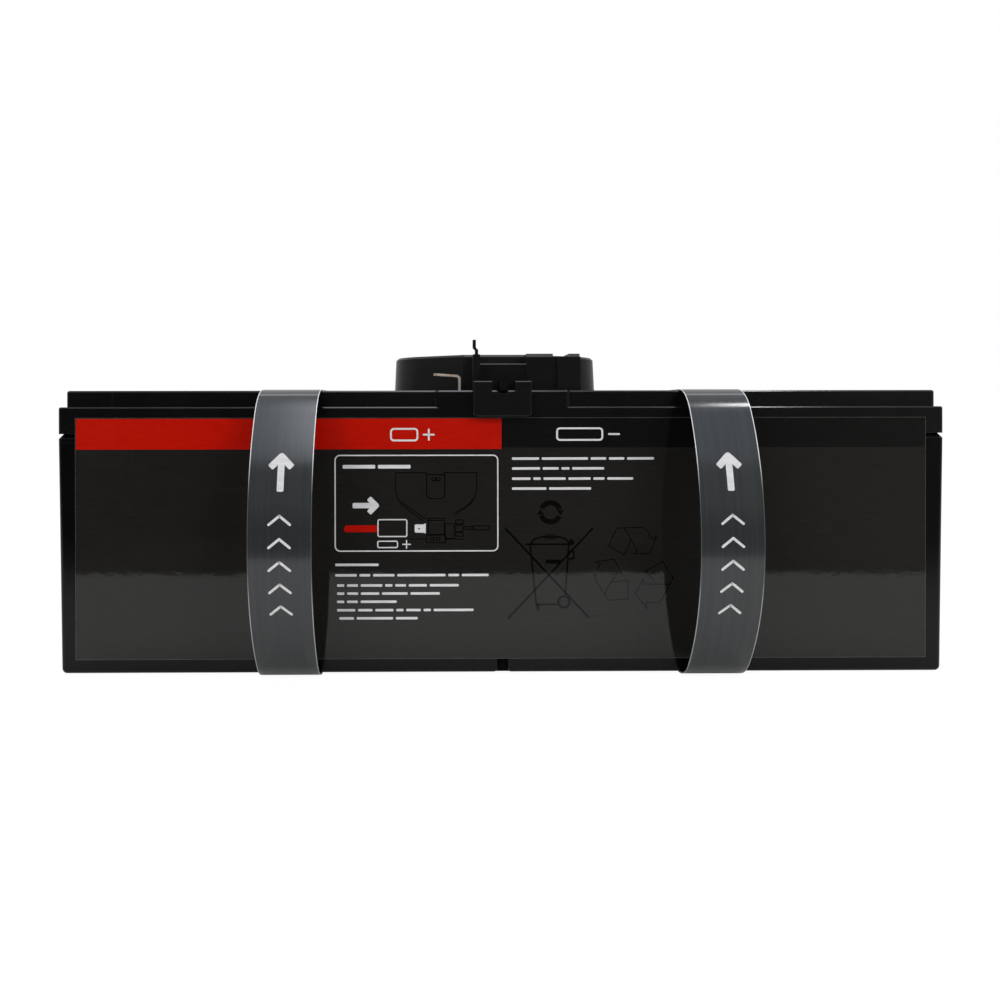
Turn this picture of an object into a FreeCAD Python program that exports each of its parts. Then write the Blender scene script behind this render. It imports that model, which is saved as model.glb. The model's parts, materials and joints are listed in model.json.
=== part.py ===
import FreeCAD, Part
import math
import os

# UPS battery cartridge: two sealed 12 V lead-acid batteries standing end to end, joined by one
# label across their fronts, a tape between them and a connector moulding over the joint.
# Two film straps go round the cases for pulling the cartridge out of its bay.
#
# Millimetres. X runs along the cartridge and Z is up. The front faces -Y. A "depth" is measured
# back from the front of the cases, and an "along" is measured outward from a battery's inner end.
# The left battery is modelled, and the right one is the same battery turned half a turn.

# Battery case
battery_length = 151.0
battery_depth = 65.0
jar_height = 81.65
rim_height = 9.1
plateau_height = 5.6
case_wall = 2.8
case_floor = 2.8
case_round = 1.8
lid_bevel = 0.5
rim_bevel = 0.4
end_draft = 1.0
side_draft = 0.4
groove_depth = 1.65
joint_gap = 0.6

# Cells: two rows of three
cells_along = 3
cell_partition = 1.6
headroom = 12.0

# Plates of one cell
positive_count = 3
positive_thickness = 3.8
negative_thickness = 2.6
plate_side_gap = 1.7
mat_overhang = 0.8
lug_width = 6.5
lug_height = 5.0
lug_edge = 1.0
bar_thickness = 4.0
bar_width = 9.0
post_bar_width = 14.0
post_radius = 2.5
cell_link_size = 3.4

# Lid
plateau_end_inset = 2.4
plateau_side_inset = 1.2
terminal_zone = 23.1
plug_depth = 2.0
plug_clearance = 0.2
plug_wall = 1.2
head_pocket = 4.4
vent_middle = 75.5
vent_margin = 9.0
vent_corner = 3.0
vent_ledge = 1.5
vent_recess = 7.35
vent_cover_thickness = 1.5
vent_cover_clearance = 0.15
vent_pitch_along = 41.5
vent_pitch_across = 22.0
vent_nipple_radius = 4.0
vent_nipple_height = 4.0
vent_bore_radius = 2.0
cap_overhang = 1.0
cap_play = 0.25

# Terminals
terminal_along = 14.2
terminal_depth = 10.0
well_radius = 5.5
well_depth = 3.0
seal_below_top = 0.4
tab_width = 6.35
tab_thickness = 0.8
tab_reach = 9.5
tab_height = 5.6
tab_bend = 0.8
tab_hole_radius = 0.85
tab_hole_back = 3.2
tab_tip_bevel = 1.1
positive_tab_rise = 4.0

# Series link between the two rear terminals
socket_length = 7.0
socket_wall = 0.6
socket_fit = 0.05
link_thickness = 1.2
link_height = 4.4
link_back = 5.4

# Joining tape and front label
tape_depth = 46.0
tape_height = 6.4
label_left = 145.2
label_right = 144.8
label_bottom = 4.85
label_height = 82.3
label_thickness = 0.2

# Connector cover
cover_centre = 0.0
cover_width = 77.7
cover_height = 13.3
cover_rear_inset = 1.1
cover_front = 19.0
cover_shoulder_inset = 16.1
cover_arc = 22.8
cover_left_slope = 35.9
cover_right_slope = 28.0
cover_step_depth = 15.2
cover_wall = 1.8
cover_top_wall = 2.0
cover_draft = 0.6
cover_bevel = 0.8
tab_recess_width = 17.2
tab_recess_front = 40.0
tab_recess_corner = 3.5
tab_recess_depth = 0.8
tab_dimple_radius = 1.95
tab_dimple_pitch = 4.4
tab_dimple_back = 6.0

# Connector block
body_left = -7.65
body_right = 8.65
body_front = 5.0
body_height = 9.4
body_wall = 1.6
block_bevel = 0.35
rail_width = 2.4
rail_back = 14.8
rail_height = 12.3
hook_right = 9.75
hook_thickness = 3.3
hook_drop = 8.9
hook_rise = 3.1
hook_corner = 1.5
notch_left = -3.7
notch_right = 4.2
notch_depth = 4.1
tongue_left = -0.7
tongue_right = 1.9
shroud_split = 19.1
shroud_right = 27.05
shroud_front = 4.0
shroud_height = 11.6
mouth_front = 2.6
mouth_back = 18.6
ridge_height = 1.2
ridge_first_end = 17.8
ridge_second_start = 23.3
ridge_front = 4.5
ridge_bevel = 0.7
channel_width = 8.6
channel_floor = 1.7
channel_top = 10.2
channel_start = 10.25

# Latch finger beside the block
finger_thickness = 1.1
finger_width = 3.8
finger_height = 18.4
finger_joggle_below_tip = 3.6
finger_joggle = 0.8

# Pull straps
strap_film = 0.35
strap_width = 20.2
strap_left_centre = -71.7
strap_right_centre = 70.7
strap_bulge = 26.4
strap_crest = 46.65
strap_upper_turn = 55.0
strap_lower_turn = 47.0
strap_rear_round = 1.2

# How near two places count as the same
same_place = 0.01

# Dependent places
case_base = strap_film
jar_top = case_base + jar_height
rim_top = jar_top + rim_height
lid_top = rim_top + plateau_height
front = (strap_bulge - battery_depth) / 2
cell_length = (battery_length - 2 * case_wall - (cells_along - 1) * cell_partition) / cells_along
cell_depth = (battery_depth - 2 * case_wall - cell_partition) / 2
plate_top = jar_top - headroom
bar_bottom = plate_top + lug_height
bar_top = bar_bottom + bar_thickness
well_floor = lid_top - well_depth
cover_top = lid_top + cover_height
cover_rear = battery_depth - cover_rear_inset
cover_shoulder = battery_depth - cover_shoulder_inset


def at(x, depth, z):
    return FreeCAD.Vector(x, front + depth, z)


def block(x, depth, z):
    # A box from three (low, high) pairs.
    size = [pair[1] - pair[0] for pair in (x, depth, z)]
    return Part.makeBox(*size, at(x[0], depth[0], z[0]))


def rod(x, depth, z, radius):
    # An upright cylinder between two heights.
    return Part.makeCylinder(radius, z[1] - z[0], at(x, depth, z[0]))


def line(a, b):
    return Part.LineSegment(a, b).toShape()


def polygon_face(points):
    return Part.Face(Part.makePolygon(points + points[:1]))


def rounded_wire(x, depth, radius, z):
    # A rectangle with round corners, lying at one height.
    x0, x1 = x
    y0, y1 = depth
    r = radius
    k = r * (1 - math.sqrt(0.5))
    corners = [
        (at(x0 + r, y0, z), at(x1 - r, y0, z), at(x1 - k, y0 + k, z)),
        (at(x1, y0 + r, z), at(x1, y1 - r, z), at(x1 - k, y1 - k, z)),
        (at(x1 - r, y1, z), at(x0 + r, y1, z), at(x0 + k, y1 - k, z)),
        (at(x0, y1 - r, z), at(x0, y0 + r, z), at(x0 + k, y0 + k, z)),
    ]
    edges = []
    for index, (start, end, middle) in enumerate(corners):
        following = corners[(index + 1) % 4][0]
        edges.append(line(start, end))
        edges.append(Part.Arc(end, middle, following).toShape())
    return Part.Wire(edges)


def rounded_block(x, depth, z, radius):
    face = Part.Face(rounded_wire(x, depth, radius, z[0]))
    return face.extrude(FreeCAD.Vector(0, 0, z[1] - z[0]))


def edges_at(shape, z):
    # The edges that lie wholly at one height.
    found = []
    for edge in shape.Edges:
        box = edge.BoundBox
        if abs(box.ZMin - z) < same_place and abs(box.ZMax - z) < same_place:
            found.append(edge)
    return found


def edges_between(shape, low, high):
    # The edges that run from one height to another.
    found = []
    for edge in shape.Edges:
        box = edge.BoundBox
        if abs(box.ZMin - low) < same_place and abs(box.ZMax - high) < same_place:
            found.append(edge)
    return found


def leaning_prism(base, top):
    # A solid with flat sides between two outlines of as many corners, both anticlockwise.
    faces = [polygon_face(base[::-1]), polygon_face(top)]
    for index in range(len(base)):
        following = (index + 1) % len(base)
        faces.append(polygon_face([base[index], base[following], top[following], top[index]]))
    return Part.Solid(Part.makeShell(faces))


def fused(shapes):
    return shapes[0].multiFuse(shapes[1:]).removeSplitter()


def outward(low, high):
    # Distances along the left battery, from its inner end, as an (x low, x high) pair.
    return (-joint_gap / 2 - high, -joint_gap / 2 - low)


def turned(shape):
    # The same piece on the right battery.
    copy = shape.copy()
    copy.rotate(at(0, battery_depth / 2, 0), FreeCAD.Vector(0, 0, 1), 180)
    return copy


# Battery


def cells():
    # Each cell as (column from the inner end, row from the front, along pair, depth pair).
    found = []
    for column in range(cells_along):
        start = case_wall + column * (cell_length + cell_partition)
        for row in range(2):
            near = case_wall + row * (cell_depth + cell_partition)
            found.append((column, row, (start, start + cell_length), (near, near + cell_depth)))
    return found


def cell_links():
    # The welds through the partitions, from one cell's bar to the next cell's.
    middle = (bar_bottom + bar_top) / 2
    height = (middle - cell_link_size / 2, middle + cell_link_size / 2)
    links = []
    for column, row, along, depth in cells():
        if column < cells_along - 1:
            centre = (depth[0] + depth[1]) / 2
            across = (centre - cell_link_size / 2, centre + cell_link_size / 2)
            links.append(block(outward(along[1], along[1] + cell_partition), across, height))
        elif row == 0:
            centre = along[1] - bar_width / 2
            x = outward(centre - cell_link_size / 2, centre + cell_link_size / 2)
            links.append(block(x, (depth[1], depth[1] + cell_partition), height))
    return links


def drafted_block(x, depth, z, inset_ends, inset_sides):
    # A box whose four sides lean in towards its base.
    def corners(ends, sides, height):
        return [
            at(x[0] + ends, depth[0] + sides, height),
            at(x[1] - ends, depth[0] + sides, height),
            at(x[1] - ends, depth[1] - sides, height),
            at(x[0] + ends, depth[1] - sides, height),
        ]

    return leaning_prism(corners(inset_ends, inset_sides, z[0]), corners(0, 0, z[1]))


def jar():
    outline = drafted_block(
        outward(0, battery_length), (0, battery_depth), (case_base, jar_top), end_draft, side_draft
    )
    rounded = edges_between(outline, case_base, jar_top) + edges_at(outline, case_base)
    body = outline.makeFillet(case_round, rounded)
    body = body.makeChamfer(groove_depth, edges_at(body, jar_top))
    floor_top = case_base + case_floor
    cavities = []
    for column, row, along, depth in cells():
        cavities.append(block(outward(*along), depth, (floor_top, jar_top)))
    return body.cut(cavities + cell_links())


def plate_pitch():
    # From one positive plate to the next, with two mats and a negative plate between them.
    return (cell_depth - negative_thickness) / positive_count


def mat_thickness():
    return (plate_pitch() - positive_thickness - negative_thickness) / 2


def positive_depths(near):
    first = near + negative_thickness + mat_thickness()
    pitch = plate_pitch()
    return [(first + i * pitch, first + i * pitch + positive_thickness) for i in range(positive_count)]


def negative_depths(near):
    pitch = plate_pitch()
    return [(near + i * pitch, near + i * pitch + negative_thickness) for i in range(positive_count + 1)]


def plate_group(along, depths, depth, lug_inside, post_depth):
    # One comb of plates, their lugs and the bar cast across them.
    bottom = case_base + case_floor
    x = outward(along[0] + plate_side_gap, along[1] - plate_side_gap)
    width = bar_width if post_depth is None else post_bar_width
    if lug_inside:
        bar = outward(along[0], along[0] + width)
        lug_low = along[0] + plate_side_gap + lug_edge
    else:
        bar = outward(along[1] - width, along[1])
        lug_low = along[1] - plate_side_gap - lug_edge - lug_width
    lug = outward(lug_low, lug_low + lug_width)
    shapes = [block(bar, depth, (bar_bottom, bar_top))]
    for pair in depths:
        shapes.append(block(x, pair, (bottom, plate_top)))
        shapes.append(block(lug, pair, (plate_top, bar_bottom)))
    if post_depth is not None:
        post_x = outward(terminal_along, terminal_along)[0]
        shapes.append(rod(post_x, post_depth, (bar_top, well_floor), post_radius))
    return fused(shapes)


def plate_groups(positive):
    # The front row starts at the positive terminal and the rear row ends at the negative one.
    groups = []
    for column, row, along, depth in cells():
        depths = positive_depths(depth[0]) if positive else negative_depths(depth[0])
        lug_inside = positive == (row == 0)
        post_depth = None
        if column == 0 and lug_inside:
            post_depth = terminal_depth if row == 0 else battery_depth - terminal_depth
        groups.append(plate_group(along, depths, depth, lug_inside, post_depth))
    return groups


def glass_mats():
    bottom = case_base + case_floor
    mats = []
    for column, row, along, depth in cells():
        gap = plate_side_gap - mat_overhang
        x = outward(along[0] + gap, along[1] - gap)
        for near, far in positive_depths(depth[0]):
            for start in (near - mat_thickness(), far):
                pair = (start, start + mat_thickness())
                mats.append(block(x, pair, (bottom, plate_top + mat_overhang)))
    return mats


def vent_places():
    # The centres of the six vents, as (x, depth).
    places = []
    for step in (-1, 0, 1):
        along = vent_middle + step * vent_pitch_along
        x = outward(along, along)[0]
        for side in (-1, 1):
            places.append((x, battery_depth / 2 + side * vent_pitch_across / 2))
    return places


def vent_pocket(inset, z):
    # The pocket clears the outer vents by the same margin all round.
    long_half = vent_pitch_along + vent_margin - inset
    short_half = vent_pitch_across / 2 + vent_margin - inset
    middle = battery_depth / 2
    x = outward(vent_middle - long_half, vent_middle + long_half)
    return rounded_block(x, (middle - short_half, middle + short_half), z, vent_corner - inset)


def lid_body():
    rim = rounded_block(
        outward(0, battery_length), (0, battery_depth), (jar_top, rim_top), case_round
    )
    rim = rim.makeChamfer(rim_bevel, edges_at(rim, rim_top))
    plateau = rounded_block(
        outward(0, battery_length - plateau_end_inset),
        (plateau_side_inset, battery_depth - plateau_side_inset),
        (jar_top, lid_top),
        case_round,
    )
    zone = rounded_block(outward(0, terminal_zone), (0, battery_depth), (jar_top, lid_top), case_round)
    body = fused([rim, plateau, zone])
    return body.makeChamfer(lid_bevel, edges_at(body, lid_top))


def lid():
    body = lid_body()
    recess_floor = lid_top - vent_recess
    added = []
    removed = [
        vent_pocket(0, (lid_top - vent_cover_thickness, lid_top)),
        vent_pocket(vent_ledge, (recess_floor, lid_top)),
    ]
    for column, row, along, depth in cells():
        fit = plug_clearance
        added.append(
            block(
                outward(along[0] + fit, along[1] - fit),
                (depth[0] + fit, depth[1] - fit),
                (jar_top - plug_depth, jar_top),
            )
        )
        inner = plug_clearance + plug_wall
        removed.append(
            block(
                outward(along[0] + inner, along[1] - inner),
                (depth[0] + inner, depth[1] - inner),
                (jar_top - plug_depth, jar_top + head_pocket),
            )
        )
    for x, depth in vent_places():
        removed.append(rod(x, depth, (jar_top, recess_floor + vent_nipple_height), vent_bore_radius))
    x = outward(terminal_along, terminal_along)[0]
    for depth in (terminal_depth, battery_depth - terminal_depth):
        removed.append(rod(x, depth, (well_floor, lid_top), well_radius))
        removed.append(rod(x, depth, (jar_top, well_floor), post_radius))
    body = body.multiFuse(added).cut(removed)
    nipples = []
    for x, depth in vent_places():
        tube = rod(x, depth, (recess_floor, recess_floor + vent_nipple_height), vent_nipple_radius)
        bore = rod(x, depth, (recess_floor, recess_floor + vent_nipple_height), vent_bore_radius)
        nipples.append(tube.cut(bore))
    return body.multiFuse(nipples).removeSplitter()


def vent_cover():
    return vent_pocket(vent_cover_clearance, (lid_top - vent_cover_thickness, lid_top))


def valve_caps():
    # Rubber caps that close the nipples, kept in place by the cover just above them.
    seat = lid_top - vent_recess + vent_nipple_height
    top = lid_top - vent_cover_thickness - cap_play
    radius = vent_nipple_radius + cap_overhang
    return [rod(x, depth, (seat, top), radius) for x, depth in vent_places()]


def terminal_tab(depth, rise):
    # An upright leg on the post, bent over to a blade that points away from the joint.
    x = outward(terminal_along, terminal_along)[0]
    y = depth - tab_width / 2
    turn = math.radians(90 - rise)
    inner = tab_bend
    outer = tab_bend + tab_thickness
    centre_x = x + tab_thickness / 2 - outer
    centre_z = lid_top + tab_height - outer

    def point(radius, angle, run=0.0):
        px = centre_x + radius * math.cos(angle) - run * math.sin(angle)
        pz = centre_z + radius * math.sin(angle) + run * math.cos(angle)
        return at(px, y, pz)

    right_foot = at(x + tab_thickness / 2, y, well_floor)
    left_foot = at(x - tab_thickness / 2, y, well_floor)
    run = tab_reach - outer
    edges = [
        line(right_foot, point(outer, 0)),
        Part.Arc(point(outer, 0), point(outer, turn / 2), point(outer, turn)).toShape(),
        line(point(outer, turn), point(outer, turn, run)),
        line(point(outer, turn, run), point(inner, turn, run)),
        line(point(inner, turn, run), point(inner, turn)),
        Part.Arc(point(inner, turn), point(inner, turn / 2), point(inner, 0)).toShape(),
        line(point(inner, 0), left_foot),
        line(left_foot, right_foot),
    ]
    tab = Part.Face(Part.Wire(edges)).extrude(FreeCAD.Vector(0, tab_width, 0))
    tip = point(outer, turn, run)
    hole_x = tip.x + tab_hole_back
    cutters = [rod(hole_x, depth, (lid_top, tip.z + outer), tab_hole_radius)]
    for side in (-1, 1):
        corner = depth + side * tab_width / 2
        low = tip.z - outer
        bevel = polygon_face(
            [
                at(tip.x - tab_tip_bevel, corner + side * tab_tip_bevel, low),
                at(tip.x - tab_tip_bevel, corner - side * 2 * tab_tip_bevel, low),
                at(tip.x + 2 * tab_tip_bevel, corner + side * tab_tip_bevel, low),
            ]
        )
        cutters.append(bevel.extrude(FreeCAD.Vector(0, 0, 2 * outer)))
    return tab.cut(cutters)


def terminal_seals():
    x = outward(terminal_along, terminal_along)[0]
    slot = outward(terminal_along - tab_thickness / 2, terminal_along + tab_thickness / 2)
    seals = []
    for depth in (terminal_depth, battery_depth - terminal_depth):
        height = (well_floor, lid_top - seal_below_top)
        disc = rod(x, depth, height, well_radius)
        width = (depth - tab_width / 2, depth + tab_width / 2)
        seals.append(disc.cut(block(slot, width, height)))
    return seals


# Pieces that join the two batteries


def blade_height():
    # The underside and the top of a level blade.
    top = lid_top + tab_height
    return (top - tab_thickness, top)


def link_socket():
    # The folded socket on the left rear blade, open at both ends.
    depth = battery_depth - terminal_depth
    low, high = blade_height()
    tip = terminal_along + tab_reach - tab_thickness / 2
    along = outward(tip - socket_length, tip)
    wide = tab_width / 2 + socket_fit
    sleeve = block(
        along,
        (depth - wide - socket_wall, depth + wide + socket_wall),
        (low - socket_wall, high + socket_wall),
    )
    return sleeve.cut(block(along, (depth - wide, depth + wide), (low, high)))


def series_link():
    # Two blade sockets and the bar that runs behind the rear terminals from one to the other.
    depth = battery_depth - terminal_depth
    low, high = blade_height()
    back = depth + link_back
    left = link_socket()
    right = left.mirror(FreeCAD.Vector(0, 0, 0), FreeCAD.Vector(1, 0, 0))
    reach = left.BoundBox
    side = depth + tab_width / 2 + socket_fit + socket_wall
    base = low - socket_wall
    shapes = [left, right]
    end = -reach.XMin
    shapes.append(block((-end, end), (back, back + link_thickness), (base, base + link_height)))
    for x in ((-end, link_height - end), (end - link_height, end)):
        shapes.append(block(x, (side - socket_wall, back), (base, low)))
    return fused(shapes)


def joining_tape():
    middle = battery_depth / 2
    centre = jar_top + rim_height / 2
    return block(
        (-joint_gap / 2, joint_gap / 2),
        (middle - tape_depth / 2, middle + tape_depth / 2),
        (centre - tape_height / 2, centre + tape_height / 2),
    )


def front_label():
    # One sheet over both fronts, leaning back with the draft below the groove.
    bottom = case_base + label_bottom
    lean = side_draft * (jar_top - bottom) / jar_height
    top = bottom + label_height
    profile = polygon_face(
        [
            at(-label_left, lean, bottom),
            at(-label_left, 0, jar_top),
            at(-label_left, 0, top),
            at(-label_left, -label_thickness, top),
            at(-label_left, -label_thickness, jar_top),
            at(-label_left, lean - label_thickness, bottom),
        ]
    )
    return profile.extrude(FreeCAD.Vector(label_left + label_right, 0, 0))


def cover_corners(inset, front_inset, z):
    # The shield's corners before rounding: straight rear and sides, two slopes, a stepped front.
    half = cover_width / 2 - inset
    radius = cover_arc - inset
    rear = cover_rear - inset
    throat = cover_front + front_inset
    nose = cover_step_depth + front_inset
    step = shroud_split - front_inset
    left_slope = math.radians(cover_left_slope)
    right_slope = math.radians(cover_right_slope)
    left_shoulder = cover_shoulder - radius * math.tan((math.pi / 2 - left_slope) / 2)
    right_shoulder = cover_shoulder - radius * math.tan((math.pi / 2 - right_slope) / 2)
    left_end = cover_centre - half + (left_shoulder - throat) / math.tan(left_slope)
    right_end = right_shoulder - (cover_centre + half - step) * math.tan(right_slope)
    return [
        at(cover_centre - half, left_shoulder, z),
        at(left_end, throat, z),
        at(body_right + front_inset, throat, z),
        at(body_right + front_inset, nose, z),
        at(step, nose, z),
        at(step, right_end, z),
        at(cover_centre + half, right_shoulder, z),
        at(cover_centre + half, rear, z),
        at(cover_centre - half, rear, z),
    ]


def shield(inset, front_inset, top):
    base = cover_corners(inset, front_inset, lid_top)
    solid = leaning_prism(base, cover_corners(inset + cover_draft, front_inset, top))
    shoulders = []
    for edge in edges_between(solid, lid_top, top):
        foot = min((vertex.Point for vertex in edge.Vertexes), key=lambda point: point.z)
        if foot.isEqual(base[0], same_place) or foot.isEqual(base[6], same_place):
            shoulders.append(edge)
    return solid.makeFillet(cover_arc - inset, shoulders)


def connector_cover():
    outer = shield(0, 0, cover_top)
    outer = outer.makeChamfer(cover_bevel, edges_at(outer, cover_top))
    inner = shield(cover_wall, cover_wall, cover_top - cover_top_wall)
    half = tab_recess_width / 2
    recess = rounded_block(
        (cover_centre - half, cover_centre + half),
        (tab_recess_front, cover_rear + tab_recess_corner),
        (cover_top - tab_recess_depth, cover_top),
        tab_recess_corner,
    )
    dimples = []
    for side in (-1, 1):
        x = cover_centre + side * tab_dimple_pitch / 2
        height = (cover_top - 2 * tab_recess_depth, cover_top)
        dimples.append(rod(x, cover_rear - tab_dimple_back, height, tab_dimple_radius))
    return outer.cut([inner, recess] + dimples)


def foremost(edges):
    # Of the edges given, those nearest the front.
    nearest = min(edge.BoundBox.YMin for edge in edges)
    return [edge for edge in edges if edge.BoundBox.YMax - nearest < same_place]


def hook_plate():
    left = body_left - rail_width
    top = lid_top + hook_rise
    bottom = lid_top - hook_drop
    plate = block((left, hook_right), (-hook_thickness, 0), (bottom, top))
    lower = [edge for edge in edges_at(plate, bottom) if edge.BoundBox.XLength < same_place]
    plate = plate.makeFillet(hook_corner, lower)
    plate = plate.makeChamfer(block_bevel, foremost(plate.Edges))
    arms = block((left, hook_right), (0, body_front), (lid_top, top))
    notch = block((notch_left, notch_right), (-hook_thickness, body_front), (top - notch_depth, top))
    tongue = block((tongue_left, tongue_right), (0, body_front), (lid_top, top))
    return plate.fuse(arms).cut(notch).fuse(tongue)


def socket_ridges():
    # Two raised pads on top of the socket, bevelled at the front.
    top = lid_top + shroud_height
    first = (body_right, ridge_first_end, cover_step_depth)
    second = (ridge_second_start, shroud_right, mouth_back)
    ridges = []
    for low, high, back in (first, second):
        face = polygon_face(
            [
                at(low, ridge_front, top),
                at(low, ridge_front + ridge_bevel, top + ridge_height),
                at(low, back, top + ridge_height),
                at(low, back, top),
            ]
        )
        ridges.append(face.extrude(FreeCAD.Vector(high - low, 0, 0)))
    return ridges


def connector_block():
    # The body over the joint, its front hook, its left rail and the socket for the second blade.
    body_top = lid_top + body_height
    body = block((body_left, body_right), (body_front, cover_front), (lid_top, body_top))
    body = body.makeChamfer(block_bevel, foremost(edges_at(body, body_top)))
    under = block(
        (body_left + body_wall, body_right - body_wall),
        (body_front + body_wall, cover_front - body_wall),
        (lid_top, body_top - body_wall),
    )
    rail = block(
        (body_left - rail_width, body_left), (0, rail_back), (lid_top, lid_top + rail_height)
    )
    shroud = block(
        (body_right, shroud_split), (shroud_front, cover_step_depth), (lid_top, lid_top + shroud_height)
    )
    mouth = block(
        (shroud_split, shroud_right), (mouth_front, mouth_back), (lid_top, lid_top + shroud_height)
    )
    half = channel_width / 2
    channel = block(
        (channel_start, shroud_right),
        (terminal_depth - half, terminal_depth + half),
        (lid_top + channel_floor, lid_top + channel_top),
    )
    leg_way = block(
        (channel_start, shroud_split),
        (terminal_depth - half, terminal_depth + half),
        (lid_top, lid_top + channel_floor),
    )
    solid = fused([body, rail, shroud, mouth, hook_plate()] + socket_ridges())
    return solid.cut([under, channel, leg_way])


def latch_finger():
    # A thin upright leaf whose tip is set over to the left.
    right = body_left
    left = right - finger_thickness
    tip = lid_top + finger_height
    bend = tip - finger_joggle_below_tip
    shift = finger_joggle
    near = cover_front - finger_width
    outline = [
        (right, lid_top),
        (right, bend),
        (right - shift, bend + shift),
        (right - shift, tip),
        (left - shift, tip),
        (left - shift, bend + shift),
        (left, bend),
        (left, lid_top),
    ]
    face = polygon_face([at(x, near, z) for x, z in outline])
    return face.extrude(FreeCAD.Vector(0, finger_width, 0))


# Pull straps


def arc_corner(start, corner, end):
    # A quarter arc between two square runs that would meet at the corner.
    toward = start.sub(corner).add(end.sub(corner))
    middle = corner.add(toward.multiply(1 - math.sqrt(0.5)))
    return Part.Arc(start, middle, end).toShape()


def bulge_half(foot, crest, turn, up, offset):
    # Two tangent arcs from a case edge, at foot, to the front of the bulge, at crest. Both are
    # (depth, height) pairs on the inner face. The first arc turns by the given angle.
    angle = math.radians(turn)
    sine, cosine = math.sin(angle), math.cos(angle)
    run = foot[0] - crest[0]
    fall = up * (foot[1] - crest[1])
    near = (run * cosine - fall * (1 - sine)) / (sine * cosine - (1 - cosine) * (1 - sine))
    far = (fall - near * (1 - cosine)) / cosine
    near_centre = (foot[0], foot[1] - up * near)
    far_centre = (crest[0] + far, crest[1])

    def swing(centre, radius, theta):
        reach = radius + offset
        return at(0, centre[0] - reach * math.sin(theta), centre[1] + up * reach * math.cos(theta))

    start = swing(near_centre, near, 0)
    meeting = swing(near_centre, near, angle)
    end = swing(far_centre, far, math.pi / 2)
    return [
        Part.Arc(start, swing(near_centre, near, angle / 2), meeting).toShape(),
        Part.Arc(meeting, swing(far_centre, far, (angle + math.pi / 2) / 2), end).toShape(),
    ]


def strap_loop(offset):
    # The closed run of the film round a case, on its inner or its outer face.
    top = lid_top + offset
    base = case_base - offset
    rear = battery_depth + offset
    turn = strap_rear_round + offset
    top_start = plateau_side_inset + lid_bevel
    base_start = side_draft + case_round
    crest = (-strap_bulge, case_base + strap_crest)
    upper = bulge_half((top_start, lid_top), crest, strap_upper_turn, 1, offset)
    lower = bulge_half((base_start, case_base), crest, strap_lower_turn, -1, offset)
    return Part.Wire(
        [
            line(at(0, rear - turn, top), at(0, top_start, top)),
            upper[0],
            upper[1],
            lower[1],
            lower[0],
            line(at(0, base_start, base), at(0, rear - turn, base)),
            arc_corner(at(0, rear - turn, base), at(0, rear, base), at(0, rear, base + turn)),
            line(at(0, rear, base + turn), at(0, rear, top - turn)),
            arc_corner(at(0, rear, top - turn), at(0, rear, top), at(0, rear - turn, top)),
        ]
    )


def pull_strap(centre):
    outer = Part.Face(strap_loop(strap_film)).extrude(FreeCAD.Vector(strap_width, 0, 0))
    inner = Part.Face(strap_loop(0)).extrude(FreeCAD.Vector(strap_width, 0, 0))
    strap = outer.cut(inner)
    strap.translate(FreeCAD.Vector(centre - strap_width / 2, 0, 0))
    return strap


def pieces():
    rear_terminal = battery_depth - terminal_depth
    battery = {
        "jar": jar(),
        "lid": lid(),
        "vent_cover": vent_cover(),
        "valve_caps": Part.makeCompound(valve_caps()),
        "positive_plates": Part.makeCompound(plate_groups(True)),
        "negative_plates": Part.makeCompound(plate_groups(False)),
        "glass_mats": Part.makeCompound(glass_mats()),
        "cell_links": Part.makeCompound(cell_links()),
        "terminal_seals": Part.makeCompound(terminal_seals()),
    }
    nodes = {}
    for name, shape in battery.items():
        nodes["left_" + name] = shape
        nodes["right_" + name] = turned(shape)
    nodes["left_positive_terminal"] = terminal_tab(terminal_depth, positive_tab_rise)
    nodes["left_negative_terminal"] = terminal_tab(rear_terminal, 0)
    nodes["right_positive_terminal"] = turned(terminal_tab(terminal_depth, 0))
    nodes["right_negative_terminal"] = turned(terminal_tab(rear_terminal, 0))
    nodes["series_link"] = series_link()
    nodes["joining_tape"] = joining_tape()
    nodes["front_label"] = front_label()
    nodes["connector_cover"] = connector_cover()
    nodes["connector_block"] = connector_block()
    nodes["latch_finger"] = latch_finger()
    nodes["left_pull_strap"] = pull_strap(strap_left_centre)
    nodes["right_pull_strap"] = pull_strap(strap_right_centre)
    return nodes


os.makedirs("parts", exist_ok=True)
for name, shape in pieces().items():
    shape.exportStep("parts/" + name + ".step")
    print(name, "solids", len(shape.Solids), "valid", shape.isValid(), "volume", round(shape.Volume))
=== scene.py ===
import json
import math

import bmesh
import bpy
from mathutils import Matrix, Vector
from mathutils.bvhtree import BVHTree


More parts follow.
